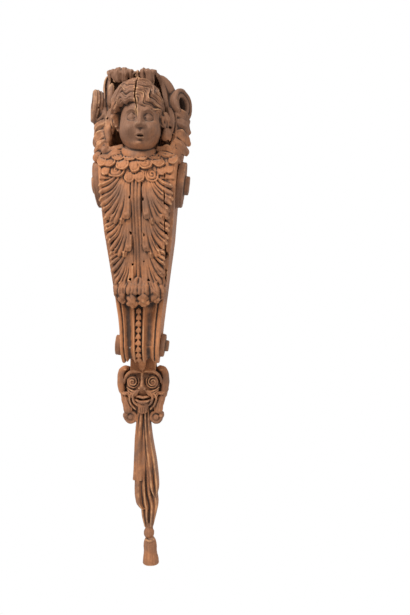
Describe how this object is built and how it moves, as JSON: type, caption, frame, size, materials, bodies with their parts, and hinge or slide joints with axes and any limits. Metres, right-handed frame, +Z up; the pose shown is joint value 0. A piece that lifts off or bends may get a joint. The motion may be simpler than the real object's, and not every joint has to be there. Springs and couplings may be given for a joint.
{
  "type": "carved wooden corbel bracket",
  "caption": "Tapered scroll bracket in carved wood with a child's head in a leafy hood, an acanthus front, a grotesque mask, a hanging cloth and a tassel, flat behind and on top.",
  "frame": {"origin": "on the flat back, on the bracket's middle line, level with the middle of the upper scroll", "axes": "+Z up, +Y into the wall, +X to the viewer's right"},
  "size_m": [0.2024, 0.1911, 0.981],
  "materials": {
    "carved_wood": "worn, dry, reddish brown, dusty on the high parts and dark in the hollows",
    "turned_wood": "worn, dry, greyer brown"
  },
  "bodies": {
    "root": {"core_board": "carved_wood", "left_side_board": "carved_wood", "right_side_board": "carved_wood", "upper_left_roundel": "turned_wood", "upper_right_roundel": "turned_wood", "lower_left_roundel": "turned_wood", "lower_right_roundel": "turned_wood"}
  },
  "joints": []
}
